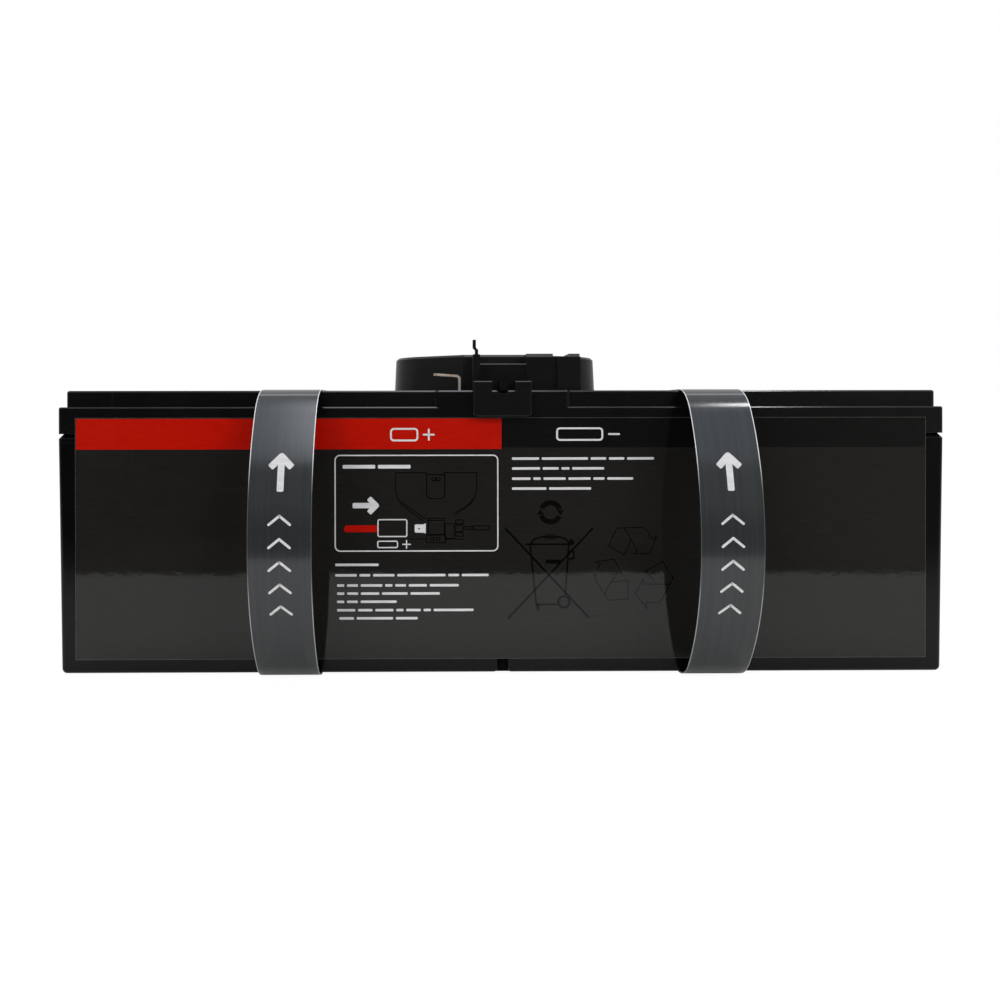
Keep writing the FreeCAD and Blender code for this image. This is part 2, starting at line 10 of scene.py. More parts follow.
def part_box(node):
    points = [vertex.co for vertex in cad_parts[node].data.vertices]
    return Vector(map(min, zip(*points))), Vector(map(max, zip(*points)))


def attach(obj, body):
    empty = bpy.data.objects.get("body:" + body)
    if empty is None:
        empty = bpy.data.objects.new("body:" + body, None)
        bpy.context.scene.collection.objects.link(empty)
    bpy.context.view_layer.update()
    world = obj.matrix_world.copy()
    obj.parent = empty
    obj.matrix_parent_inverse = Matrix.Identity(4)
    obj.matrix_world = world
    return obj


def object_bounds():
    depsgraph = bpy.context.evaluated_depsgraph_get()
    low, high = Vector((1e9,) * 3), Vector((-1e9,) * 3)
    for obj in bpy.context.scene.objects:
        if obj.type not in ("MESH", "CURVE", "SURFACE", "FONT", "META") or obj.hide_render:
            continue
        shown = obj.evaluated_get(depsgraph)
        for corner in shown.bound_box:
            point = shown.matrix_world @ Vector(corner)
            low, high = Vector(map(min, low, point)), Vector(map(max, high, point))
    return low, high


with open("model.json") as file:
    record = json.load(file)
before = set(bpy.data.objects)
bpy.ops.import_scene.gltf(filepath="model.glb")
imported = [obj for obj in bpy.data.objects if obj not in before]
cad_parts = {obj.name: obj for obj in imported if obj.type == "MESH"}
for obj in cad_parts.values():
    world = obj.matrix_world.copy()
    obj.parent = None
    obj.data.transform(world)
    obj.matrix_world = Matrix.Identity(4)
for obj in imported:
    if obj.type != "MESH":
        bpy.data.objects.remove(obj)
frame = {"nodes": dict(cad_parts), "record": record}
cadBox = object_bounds()
scene = bpy.context.scene
mm = 0.001
print("frame loaded:", len(frame["nodes"]), "pieces")


# Camera: level with the lids and a little left of the middle, all but square on to the label.

labelLow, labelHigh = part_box("front_label")
faceDepth = labelLow[1]

cameraSet = {"across": -21.6, "height": 89.0, "standOff": 330.0, "lens": 34.9, "sensor": 36.0, "nearest": 10.0,
             "shift": (0.0526, -0.087), "turn": (90.0, 0.08, -0.49)}


def setCamera(values):
    cameraData = bpy.data.cameras.new("camera")
    cameraData.lens = values["lens"]
    cameraData.sensor_width = values["sensor"]
    cameraData.clip_start = values["nearest"] * mm
    cameraData.shift_x, cameraData.shift_y = values["shift"]
    camera = bpy.data.objects.new("camera", cameraData)
    camera.location = (values["across"] * mm, faceDepth - values["standOff"] * mm, values["height"] * mm)
    camera.rotation_euler = [math.radians(angle) for angle in values["turn"]]
    scene.collection.objects.link(camera)
    scene.camera = camera


setCamera(cameraSet)
print("camera set")


# Small helpers for node trees

def makeGroup(name, inputs, outputs):
    # Every socket is a plain number, and an input is given with its default.
    group = bpy.data.node_groups.new(name, "ShaderNodeTree")
    for socketName, value in inputs.items():
        socket = group.interface.new_socket(name=socketName, in_out="INPUT", socket_type="NodeSocketFloat")
        socket.default_value = value
    for socketName in outputs:
        group.interface.new_socket(name=socketName, in_out="OUTPUT", socket_type="NodeSocketFloat")
    return group, group.nodes.new("NodeGroupInput"), group.nodes.new("NodeGroupOutput")


def feed(tree, source, target):
    # A number or a colour is set on the socket, and a socket is linked to it.
    if isinstance(source, bpy.types.NodeSocket):
        tree.links.new(source, target)
    else:
        target.default_value = source


def maths(tree, operation, first, second=0.0, clamp=False):
    node = tree.nodes.new("ShaderNodeMath")
    node.operation = operation
    node.use_clamp = clamp
    feed(tree, first, node.inputs[0])
    feed(tree, second, node.inputs[1])
    return node.outputs[0]


def times(tree, first, second, clamp=False):
    return maths(tree, "MULTIPLY", first, second, clamp)


def ramp(tree, value, low, high, start=0.0, end=1.0):
    node = tree.nodes.new("ShaderNodeMapRange")
    node.interpolation_type = "SMOOTHSTEP"
    feed(tree, value, node.inputs["Value"])
    node.inputs["From Min"].default_value = low
    node.inputs["From Max"].default_value = high
    node.inputs["To Min"].default_value = start
    node.inputs["To Max"].default_value = end
    return node.outputs["Result"]


def blend(tree, amount, first, second):
    # Sockets that share a name are picked by number.
    node = tree.nodes.new("ShaderNodeMix")
    node.data_type = "RGBA"
    feed(tree, amount, node.inputs[0])
    feed(tree, first, node.inputs[6])
    feed(tree, second, node.inputs[7])
    return node.outputs[2]


def noise(tree, vector, scale, detail=3.0, rough=0.55, distortion=0.0):
    node = tree.nodes.new("ShaderNodeTexNoise")
    feed(tree, vector, node.inputs["Vector"])
    feed(tree, scale, node.inputs["Scale"])
    node.inputs["Detail"].default_value = detail
    node.inputs["Roughness"].default_value = rough
    node.inputs["Distortion"].default_value = distortion
    return node.outputs["Fac"]


def place(tree):
    return tree.nodes.new("ShaderNodeTexCoord").outputs["Object"]


def stretched(tree, vector, scale):
    node = tree.nodes.new("ShaderNodeMapping")
    feed(tree, vector, node.inputs["Vector"])
    node.inputs["Scale"].default_value = scale
    return node.outputs["Vector"]


def facing(tree):
    return tree.nodes.new("ShaderNodeNewGeometry").outputs["Normal"]


def axes(tree, vector):
    node = tree.nodes.new("ShaderNodeSeparateXYZ")
    feed(tree, vector, node.inputs[0])
    return node.outputs


# Shared effects. A pair of numbers is where a pattern starts to show and where it is full. Where a noise
# has more than a scale, its detail, roughness and curl follow in that order.

grainSet = {"fineDetail": 2.0, "patchDetail": 4.0, "patchRough": 0.6, "tint": (0.35, 0.7)}


def buildMouldGrain(values):
    # The fine skin of a moulded or cast surface: height, a roughness shift and a patchy tint.
    group, entry, leave = makeGroup(
        "mouldGrain", {"Grain Scale": 2600.0, "Patch Scale": 30.0}, ("Height", "Roughness Shift", "Tint"),
    )
    spot = place(group)
    fine = noise(group, spot, entry.outputs["Grain Scale"], values["fineDetail"])
    patch = noise(group, spot, entry.outputs["Patch Scale"], values["patchDetail"], values["patchRough"])
    feed(group, fine, leave.inputs["Height"])
    feed(group, maths(group, "SUBTRACT", patch, 0.5), leave.inputs["Roughness Shift"])
    feed(group, ramp(group, patch, *values["tint"]), leave.inputs["Tint"])
    return group


wearSet = {"samples": 6, "corner": (0.99, 0.8), "broken": (0.4, 0.62), "breakNoise": (4.0, 0.7)}


def buildEdgeWear(values):
    # Polished or whitened corners, where the rounded normal leaves the flat one. The width is in millimetres.
    group, entry, leave = makeGroup("edgeWear", {"Width": 0.6, "Break Up": 120.0}, ["Mask"])
    bevel = group.nodes.new("ShaderNodeBevel")
    bevel.samples = values["samples"]
    feed(group, times(group, entry.outputs["Width"], mm), bevel.inputs["Radius"])
    dot = group.nodes.new("ShaderNodeVectorMath")
    dot.operation = "DOT_PRODUCT"
    feed(group, bevel.outputs["Normal"], dot.inputs[0])
    feed(group, facing(group), dot.inputs[1])
    corner = ramp(group, dot.outputs["Value"], *values["corner"])
    broken = noise(group, place(group), entry.outputs["Break Up"], *values["breakNoise"])
    broken = ramp(group, broken, *values["broken"])
    feed(group, times(group, corner, broken), leave.inputs["Mask"])
    return group


scuffSet = {
    "along": (14.0, 700.0, 900.0), "alongShows": (0.66, 0.72), "upward": (1100.0, 700.0, 16.0),
    "upwardShows": (0.67, 0.73), "hairDetail": 2.0, "patch": 24.0, "patchShows": (0.45, 0.62),
}


def buildScuffs(values):
    # Fine hair scratches in two directions, broken into patches.
    group, entry, leave = makeGroup("scuffs", {"Amount": 0.5}, ["Mask"])
    spot = place(group)
    along = noise(group, stretched(group, spot, values["along"]), 1.0, values["hairDetail"])
    upward = noise(group, stretched(group, spot, values["upward"]), 1.0, values["hairDetail"])
    along, upward = ramp(group, along, *values["alongShows"]), ramp(group, upward, *values["upwardShows"])
    lines = maths(group, "MAXIMUM", along, upward)
    patch = ramp(group, noise(group, spot, values["patch"]), *values["patchShows"])
    worn = times(group, lines, patch)
    feed(group, times(group, worn, entry.outputs["Amount"], True), leave.inputs["Mask"])
    return group


dustSet = {"facesUp": (0.2, 0.95), "speck": 1500.0, "speckShows": (0.71, 0.76), "haze": 60.0,
           "hazeDetail": 4.0, "hazeShows": (0.4, 0.8), "hazeMost": 0.35}


def buildDust(values):
    # Light specks and haze that settle on what faces up.
    group, entry, leave = makeGroup("settledDust", {"Amount": 0.5}, ["Mask"])
    spot = place(group)
    upward = ramp(group, axes(group, facing(group))["Z"], *values["facesUp"])
    specks = ramp(group, noise(group, spot, values["speck"], 1.0), *values["speckShows"])
    haze = noise(group, spot, values["haze"], values["hazeDetail"])
    haze = ramp(group, haze, *values["hazeShows"], 0.0, values["hazeMost"])
    both = times(group, maths(group, "MAXIMUM", specks, haze), upward)
    feed(group, times(group, both, entry.outputs["Amount"], True), leave.inputs["Mask"])
    return group


rippleSet = {"stretch": (0.5, 1.0, 1.0), "waveNoise": (2.5, 0.45), "finerBy": 5.0, "finerNoise": (3.0, 0.6),
             "bubble": 520.0, "bubbleShows": (0.68, 0.8), "bubbleHeight": 0.12, "smear": (18.0, 5.0, 0.65)}


def buildFilmRipple(values):
    # The slow waves of a film stuck on plastic, with small bubbles under it.
    group, entry, leave = makeGroup(
        "filmRipple", {"Wave Scale": 45.0, "Fine Amount": 0.0, "Bubble Amount": 0.3}, ("Height", "Roughness Shift"),
    )
    spot = place(group)
    waveSpot = stretched(group, spot, values["stretch"])
    waves = noise(group, waveSpot, entry.outputs["Wave Scale"], *values["waveNoise"])
    finerScale = times(group, entry.outputs["Wave Scale"], values["finerBy"])
    finer = noise(group, spot, finerScale, *values["finerNoise"])
    waves = maths(group, "ADD", waves, times(group, finer, entry.outputs["Fine Amount"]))
    bubbles = ramp(group, noise(group, spot, values["bubble"], 1.0), *values["bubbleShows"])
    bubbles = times(group, bubbles, entry.outputs["Bubble Amount"])
    bubbles = times(group, bubbles, values["bubbleHeight"])
    feed(group, maths(group, "ADD", waves, bubbles), leave.inputs["Height"])
    smear = noise(group, spot, *values["smear"])
    feed(group, maths(group, "SUBTRACT", smear, 0.5), leave.inputs["Roughness Shift"])
    return group


effects = {
    "mouldGrain": buildMouldGrain(grainSet),
    "edgeWear": buildEdgeWear(wearSet),
    "scuffs": buildScuffs(scuffSet),
    "dust": buildDust(dustSet),
    "filmRipple": buildFilmRipple(rippleSet),
}
socketNames = {
    "grain": "Grain Scale", "patch": "Patch Scale", "wearWidth": "Width", "wearBreakUp": "Break Up",
    "scuffs": "Amount", "dust": "Amount", "wave": "Wave Scale", "fine": "Fine Amount", "bubbles": "Bubble Amount",
}
print("shared effects built:", len(effects))


def effect(tree, name, values, *keys):
    # Places a shared effect and sets its inputs from these keys of the finish.
    node = tree.nodes.new("ShaderNodeGroup")
    node.node_tree = effects[name]
    for key in keys:
        node.inputs[socketNames[key]].default_value = values[key]
    return node.outputs


def newMaterial(name, values):
    # What is the same all over is set on the shader itself.
    material = bpy.data.materials.new(name)
    material.use_nodes = True
    tree = material.node_tree
    shader = tree.nodes["Principled BSDF"]
    shader.inputs["Metallic"].default_value = values.get("metallic", 0.0)
    shader.inputs["Specular IOR Level"].default_value = values.get("specular", 0.5)
    return material, tree, shader


def setSurface(tree, shader, colour, rough, height, relief):
    # The relief is the height's full depth, in millimetres.
    bump = tree.nodes.new("ShaderNodeBump")
    bump.inputs["Distance"].default_value = relief * mm
    feed(tree, height, bump.inputs["Height"])
    feed(tree, bump.outputs["Normal"], shader.inputs["Normal"])
    feed(tree, colour, shader.inputs["Base Color"])
    feed(tree, rough, shader.inputs["Roughness"])


def spreadRough(tree, shift, values):
    # The finish's own roughness, moved up and down by an effect's roughness shift.
    rough = maths(tree, "MULTIPLY_ADD", shift, values["roughSpread"])
    rough.node.inputs[2].default_value = values["rough"]
    return rough


# Finishes

def mouldedPlastic(name, values):
    material, tree, shader = newMaterial(name, values)
    grain = effect(tree, "mouldGrain", values, "grain", "patch")
    wear = effect(tree, "edgeWear", values, "wearWidth", "wearBreakUp")["Mask"]
    scuffs = effect(tree, "scuffs", values, "scuffs")["Mask"]
    dust = effect(tree, "dust", values, "dust")["Mask"]
    colour = blend(tree, grain["Tint"], values["dark"], values["light"])
    colour = blend(tree, times(tree, wear, values["wear"]), colour, values["worn"])
    colour = blend(tree, scuffs, colour, values["worn"])
    colour = blend(tree, dust, colour, values["dusty"])
    rough = spreadRough(tree, grain["Roughness Shift"], values)
    rough = maths(tree, "ADD", rough, times(tree, scuffs, values["scuffRough"]))
    rough = maths(tree, "ADD", rough, times(tree, wear, values["cornerRough"]), True)
    setSurface(tree, shader, colour, rough, grain["Height"], values["relief"])
    return material


caseSet = {
    "dark": (0.0022, 0.0021, 0.0022, 1), "light": (0.0036, 0.0034, 0.0035, 1), "worn": (0.030, 0.029, 0.029, 1),
    "dusty": (0.10, 0.095, 0.088, 1), "rough": 0.19, "roughSpread": 0.12, "grain": 2600.0, "patch": 30.0,
    "relief": 0.003, "wearWidth": 0.5, "wearBreakUp": 150.0, "wear": 0.5, "cornerRough": 0.08, "scuffs": 0.12,
    "scuffRough": 0.12, "dust": 0.2, "specular": 0.35,
}
jarSet = dict(caseSet, dark=(0.0011, 0.0010, 0.0012, 1), light=(0.0020, 0.0018, 0.0020, 1), specular=0.2)
connectorSet = dict(
    caseSet, dark=(0.0032, 0.0030, 0.0031, 1), light=(0.0052, 0.0049, 0.0049, 1), rough=0.32, grain=3800.0,
    relief=0.010, wearWidth=0.35, wear=0.6, scuffs=0.10, specular=0.28,
)
coverSet = dict(connectorSet, dark=(0.0085, 0.0081, 0.0082, 1), light=(0.0115, 0.0110, 0.0110, 1))


def softRubber(name, values):
    material, tree, shader = newMaterial(name, values)
    grain = effect(tree, "mouldGrain", values, "grain", "patch")
    dust = effect(tree, "dust", values, "dust")["Mask"]
    colour = blend(tree, grain["Tint"], values["dark"], values["light"])
    colour = blend(tree, dust, colour, values["dusty"])
    rough = maths(tree, "ADD", grain["Roughness Shift"], values["rough"], True)
    setSurface(tree, shader, colour, rough, grain["Height"], values["relief"])
    return material


rubberSet = {
    "dark": (0.012, 0.012, 0.012, 1), "light": (0.03, 0.03, 0.03, 1), "dusty": (0.2, 0.19, 0.17, 1), "dust": 0.5,
    "grain": 1800.0, "patch": 90.0, "relief": 0.02, "rough": 0.75, "specular": 0.35,
}
resinSet = dict(rubberSet, dark=(0.010, 0.009, 0.009, 1), light=(0.02, 0.018, 0.017, 1), rough=0.22, specular=0.5)


def castLead(name, values):
    material, tree, shader = newMaterial(name, values)
    grain = effect(tree, "mouldGrain", values, "grain", "patch")
    pits = ramp(tree, noise(tree, place(tree), values["pit"]), *values["pitShows"])
    colour = blend(tree, grain["Tint"], values["dark"], values["light"])
    colour = blend(tree, pits, colour, values["dark"])
    rough = maths(tree, "ADD", grain["Roughness Shift"], values["rough"], True)
    setSurface(tree, shader, colour, rough, grain["Height"], values["relief"])
    return material


positiveSet = {
    "dark": (0.035, 0.017, 0.010, 1), "light": (0.075, 0.040, 0.024, 1), "rough": 0.8, "grain": 1500.0,
    "patch": 220.0, "pit": 900.0, "pitShows": (0.55, 0.7), "relief": 0.06,
}
negativeSet = dict(positiveSet, dark=(0.11, 0.115, 0.12, 1), light=(0.20, 0.205, 0.21, 1), rough=0.7)
weldSet = dict(
    positiveSet, dark=(0.22, 0.225, 0.24, 1), light=(0.36, 0.37, 0.39, 1), rough=0.5, grain=900.0, metallic=1.0,
)


def fibreMat(name, values):
    material, tree, shader = newMaterial(name, values)
    spot = place(tree)
    across, along = values["strand"]
    strands = noise(tree, stretched(tree, spot, (across, across, along)), 1.0, *values["strandNoise"])
    cross = noise(tree, stretched(tree, spot, (along, across, across)), 1.0, *values["strandNoise"])
    weave = maths(tree, "MAXIMUM", strands, cross)
    colour = blend(tree, ramp(tree, weave, *values["colourSpan"]), values["dark"], values["light"])
    rough = ramp(tree, weave, *values["roughSpan"], *values["rough"])
    setSurface(tree, shader, colour, rough, weave, values["relief"])
    return material


matSet = {
    "dark": (0.52, 0.51, 0.48, 1), "light": (0.80, 0.79, 0.76, 1), "colourSpan": (0.4, 0.7), "strand": (400.0, 2600.0),
    "strandNoise": (4.0, 0.6, 2.0), "rough": (0.95, 0.8), "roughSpan": (0.3, 0.8), "relief": 0.08, "specular": 0.2,
}


def platedMetal(name, values):
    # Thin tin over brass: the brass shows warm where the tin has rubbed off.
    material, tree, shader = newMaterial(name, values)
    spot = place(tree)
    rubbed = ramp(tree, noise(tree, spot, *values["patch"]), *values["bare"])
    wear = effect(tree, "edgeWear", values, "wearWidth", "wearBreakUp")["Mask"]
    rubbed = maths(tree, "MAXIMUM", rubbed, wear)
    drawn = noise(tree, stretched(tree, spot, values["drawn"]), 1.0)
    colour = blend(tree, rubbed, values["tin"], values["brass"])
    rough = ramp(tree, drawn, *values["roughSpan"], *values["rough"])
    setSurface(tree, shader, colour, rough, drawn, values["relief"])
    return material


terminalSet = {
    "tin": (0.80, 0.73, 0.67, 1), "brass": (0.72, 0.50, 0.36, 1), "patch": (260.0, 5.0, 0.6),
    "bare": (0.42, 0.64), "wearWidth": 0.3, "wearBreakUp": 400.0, "drawn": (60.0, 2200.0, 2200.0),
    "rough": (0.3, 0.5), "roughSpan": (0.3, 0.75), "relief": 0.01, "metallic": 0.65,
}
linkSet = dict(
    terminalSet, tin=(0.70, 0.68, 0.65, 1), brass=(0.66, 0.48, 0.30, 1), bare=(0.52, 0.74), rough=(0.28, 0.48),
    metallic=1.0,
)


def closedFoam(name, values):
    # Small closed cells, and creases where the foam has been pressed.
    material, tree, shader = newMaterial(name, values)
    spot = place(tree)
    creases = noise(tree, stretched(tree, spot, values["creases"]), 1.0, values["creaseDetail"])
    cells = noise(tree, spot, *values["cell"])
    colour = blend(tree, ramp(tree, creases, *values["colourSpan"]), values["dark"], values["light"])
    rough = ramp(tree, cells, *values["roughSpan"], *values["rough"])
    setSurface(tree, shader, colour, rough, cells, values["relief"])
    return material


tapeSet = {
    "dark": (0.52, 0.52, 0.50, 1), "light": (0.64, 0.64, 0.62, 1), "colourSpan": (0.35, 0.7),
    "creases": (200.0, 60.0, 900.0), "creaseDetail": 4.0, "cell": (2200.0, 2.0), "rough": (0.75, 0.9),
    "roughSpan": (0.3, 0.7), "relief": 0.05, "specular": 0.3,
}


def printedFilm(name, inkDark, inkLight, values):
    # Ink under a clear gloss film: the ink is a touch uneven, and the gloss over it ripples.
    material, tree, shader = newMaterial(name, values)
    ripple = effect(tree, "filmRipple", values, "wave", "fine", "bubbles")
    ink = noise(tree, stretched(tree, place(tree), values["inkStretch"]), *values["inkPatch"])
    scuffs = effect(tree, "scuffs", values, "scuffs")["Mask"]
    colour = blend(tree, ramp(tree, ink, *values["inkSpan"]), inkDark, inkLight)
    colour = blend(tree, scuffs, colour, values["scuffed"])
    rough = maths(tree, "MAXIMUM", spreadRough(tree, ripple["Roughness Shift"], values), values["leastRough"])
    setSurface(tree, shader, colour, rough, ripple["Height"], values["waveHeight"])
    return material


filmSet = {
    "wave": 60.0, "waveHeight": 0.05, "fine": 0.3, "bubbles": 0.15, "inkStretch": (1.0, 1.0, 6.0),
    "inkPatch": (160.0, 4.0, 0.6), "inkSpan": (0.3, 0.7), "scuffs": 0.03, "scuffed": (0.09, 0.09, 0.09, 1),
    "rough": 0.045, "roughSpread": 0.03, "leastRough": 0.03, "specular": 0.32,
}
labelInk = {
    "grey": ((0.0105, 0.0100, 0.0090, 1), (0.0125, 0.0120, 0.0108, 1)),
    "black": ((0.0032, 0.0030, 0.0030, 1), (0.0046, 0.0044, 0.0044, 1)),
    "red": ((0.39, 0.0054, 0.0014, 1), (0.44, 0.0066, 0.0020, 1)),
    "white": ((0.56, 0.56, 0.57, 1), (0.66, 0.655, 0.665, 1)),
    "shadow": ((0.0014, 0.0012, 0.0012, 1), (0.0022, 0.0019, 0.0019, 1)),
    "filmEdge": ((0.030, 0.030, 0.029, 1), (0.060, 0.058, 0.056, 1)),
}

# The strap's cut edges carry a painted highlight where they face up and a painted floor reflection where they face
# down.
strapSet = {
    "ink": (0.0195, 0.022, 0.0235, 1), "inkLight": (0.0245, 0.0275, 0.0295, 1), "inkSpan": (0.3, 0.7),
    "streaks": (900.0, 20.0, 20.0), "streakRough": 0.06, "scuffs": 0.06, "scuffed": (0.12, 0.125, 0.13, 1),
    "edgeDim": (0.07, 0.075, 0.08, 1), "edgePaintedHighlight": (0.74, 0.75, 0.77, 1), "edgePaintedFloorReflection": (0.36, 0.37, 0.39, 1),
    "edgeWidth": 0.24, "edgeBlur": 0.1, "paintedHighlightFacing": (0.2, 0.42), "paintedReflectionFacing": (-0.1, -0.36), "paintedCreaseHighlightBelow": 1.9,
    "crease": (0.13, 0.135, 0.15, 1), "paintedCreaseHighlightShows": (0.42, 0.12), "wave": 22.0, "waveHeight": 0.08, "fine": 0.0,
    "bubbles": 0.0, "rough": 0.14, "roughSpread": 0.08,
}


def strapFilm(name, node, values):
    # Clear film printed grey on its back. Its cut edges look pale, with a painted highlight where they face up and a
    # painted floor reflection where they face down; a painted highlight runs across the bend below the top.
    material, tree, shader = newMaterial(name, values)
    low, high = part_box(node)
    middle, half = (low[0] + high[0]) / 2, (high[0] - low[0]) / 2
    spot = place(tree)
    at, normal = axes(tree, spot), axes(tree, facing(tree))
    across = maths(tree, "ABSOLUTE", maths(tree, "SUBTRACT", at["X"], middle))
    inner, blur = half - values["edgeWidth"] * mm, values["edgeBlur"] * mm
    cutEdge = ramp(tree, across, inner - blur, inner + blur)
    upward = ramp(tree, normal["Z"], *values["paintedHighlightFacing"])
    paintedReflectionMask = ramp(tree, normal["Z"], *values["paintedReflectionFacing"])
    # Painted highlight: a light line across the strap a little below its top, where the film bends over the lid.
    paintedCreaseHighlightMask = maths(tree, "SUBTRACT", at["Z"], high[2] - values["paintedCreaseHighlightBelow"] * mm)
    paintedCreaseHighlightMask = ramp(tree, maths(tree, "ABSOLUTE", paintedCreaseHighlightMask), *(distance * mm for distance in values["paintedCreaseHighlightShows"]))
    ripple = effect(tree, "filmRipple", values, "wave", "fine", "bubbles")
    streaks = noise(tree, stretched(tree, spot, values["streaks"]), 1.0)
    scuffs = effect(tree, "scuffs", values, "scuffs")["Mask"]
    colour = blend(tree, ramp(tree, streaks, *values["inkSpan"]), values["ink"], values["inkLight"])
    colour = blend(tree, scuffs, colour, values["scuffed"])
    # The crease colour is a painted highlight along that bend.
    colour = blend(tree, paintedCreaseHighlightMask, colour, values["crease"])
    # Painted highlight on the cut edge where it faces up, painted floor reflection where it faces down.
    edge = blend(tree, upward, values["edgeDim"], values["edgePaintedHighlight"])
    edge = blend(tree, paintedReflectionMask, edge, values["edgePaintedFloorReflection"])
    colour = blend(tree, cutEdge, colour, edge)
    rough = spreadRough(tree, ripple["Roughness Shift"], values)
    rough = maths(tree, "ADD", rough, times(tree, streaks, values["streakRough"]), True)
    setSurface(tree, shader, colour, rough, ripple["Height"], values["waveHeight"])
    return material


finishes = {
    "case_plastic": mouldedPlastic("caseBlack", caseSet),
    "connector_plastic": mouldedPlastic("connectorBlack", connectorSet),
    "valve_rubber": softRubber("valveRubber", rubberSet),
    "seal_resin": softRubber("sealResin", resinSet),
    "positive_lead": castLead("positivePaste", positiveSet),
    "negative_lead": castLead("negativePaste", negativeSet),
    "weld_lead": castLead("weldLead", weldSet),
    "glass_mat": fibreMat("glassFibre", matSet),
    "terminal_metal": platedMetal("terminalPlate", terminalSet),
    "link_metal": platedMetal("linkPlate", linkSet),
    "tape": closedFoam("joiningTape", tapeSet),
    "label_film": printedFilm("labelGrey", *labelInk["grey"], filmSet),
}
inks = {name: printedFilm("ink" + name.capitalize(), *labelInk[name], filmSet)
        for name in ("black", "red", "white", "filmEdge")}
inks["shadow"] = printedFilm("inkShadow", *labelInk["shadow"], dict(filmSet, specular=0.22))
print("finishes built:", len(finishes) + len(inks))


def dress(node, material):
    piece = frame["nodes"][node]
    for holder in piece.material_slots:
        holder.material = material
    if not piece.material_slots:
        piece.data.materials.append(material)


for part in frame["record"]["subparts"]:
    if part["material_slot"] in finishes:
        dress(part["node"], finishes[part["material_slot"]])
dress("connector_cover", mouldedPlastic("coverBlack", coverSet))
jarFinish = mouldedPlastic("jarBlack", jarSet)
for side in ("left", "right"):
    dress(side + "_jar", jarFinish)
    strap = side + "_pull_strap"
    dress(strap, strapFilm(strap + "Film", strap, strapSet))
print("nodes dressed:", len(frame["nodes"]))


def pushOut(shape, faces, distance):
    # Extrudes flat faces to the rear, or to the front where the distance is negative.
    grown = bmesh.ops.extrude_face_region(shape, geom=faces)["geom"]
    verts = [item for item in grown if isinstance(item, bmesh.types.BMVert)]
    bmesh.ops.translate(shape, vec=(0, distance, 0), verts=verts)


def makePiece(name, shape, material):
    # Turns a finished shape into an object of the scene.
    mesh = bpy.data.meshes.new(name)
    shape.to_mesh(mesh)
    shape.free()
    mesh.materials.append(material)
    piece = bpy.data.objects.new(name, mesh)
    scene.collection.objects.link(piece)
    return piece


# Print: thin raised ink, drawn flat in millimetres (across, down) and then laid on its surface.
# The label's artwork is drawn for a sheet of one width, and is scaled to the label's own.

inkSet = {"thickness": 0.02, "roundSteps": 5, "arrowSteps": 3, "ringSteps": 40, "arcStep": 7, "sheetWidth": 292.7,
          "castFrom": 100.0}
sheetScale = (labelHigh[0] - labelLow[0]) / (inkSet["sheetWidth"] * mm)
upright = Matrix.Rotation(math.radians(90), 3, "X")


def flatPoint(across, down):
    return Vector((across, 0.0, -down))


def thicken(shape, faces):
    # Gives flat faces their ink thickness, towards the viewer.
    pushOut(shape, faces, -inkSet["thickness"])


def addPolygon(shape, points):
    face = shape.faces.new([shape.verts.new(flatPoint(*point)) for point in points])
    thicken(shape, [face])


def flatBar(shape, left, top, right, bottom, corner=0.0):
    verts = bmesh.ops.create_grid(shape, x_segments=1, y_segments=1, size=0.5)["verts"]
    bmesh.ops.rotate(shape, cent=(0, 0, 0), matrix=upright, verts=verts)
    bmesh.ops.scale(shape, vec=(right - left, 1, bottom - top), verts=verts)
    bmesh.ops.translate(shape, vec=flatPoint((left + right) / 2, (top + bottom) / 2), verts=verts)
    face = verts[0].link_faces[0]
    if corner:
        made = bmesh.ops.bevel(shape, geom=verts, offset=corner, segments=inkSet["roundSteps"], profile=0.5,
                               affect="VERTICES", material=-1)
        face = made["verts"][0].link_faces[0]
    return face


def addBar(shape, left, top, right, bottom, corner=0.0):
    thicken(shape, [flatBar(shape, left, top, right, bottom, corner)])


def addRim(shape, face, line):
    # Keeps only a rim of a flat face.
    rim = bmesh.ops.inset_region(shape, faces=[face], thickness=line, use_boundary=True, use_even_offset=True)["faces"]
    bmesh.ops.delete(shape, geom=[face], context="FACES_ONLY")
    thicken(shape, rim)


def addFrame(shape, left, top, right, bottom, corner, line):
    addRim(shape, flatBar(shape, left, top, right, bottom, corner), line)


def addStroke(shape, start, end, width):
    # A straight pen line with round ends, which a bevel of all but the whole radius makes.
    first, last = flatPoint(*start), flatPoint(*end)
    run = last - first
    radius = width / 2
    reach = run.length / 2 + radius
    face = flatBar(shape, -reach, -radius, reach, radius, radius * 0.98)
    verts = list(face.verts)
    slope = Matrix.Rotation(-math.atan2(run.z, run.x), 3, "Y")
    bmesh.ops.rotate(shape, cent=(0, 0, 0), matrix=slope, verts=verts)
    bmesh.ops.translate(shape, vec=(first + last) / 2, verts=verts)
    thicken(shape, [face])


def addPath(shape, points, width):
    for start, end in zip(points, points[1:]):
        addStroke(shape, start, end, width)


def addMinus(shape, centre, arm, line):
    across, down = centre
    addStroke(shape, (across - arm, down), (across + arm, down), line)


def addPlus(shape, centre, arm, line, clear):
    # The upright is in two strokes that stop clear of the level one.
    across, down = centre
    addMinus(shape, centre, arm, line)
    addStroke(shape, (across, down - arm), (across, down - clear), line)
    addStroke(shape, (across, down + clear), (across, down + arm), line)


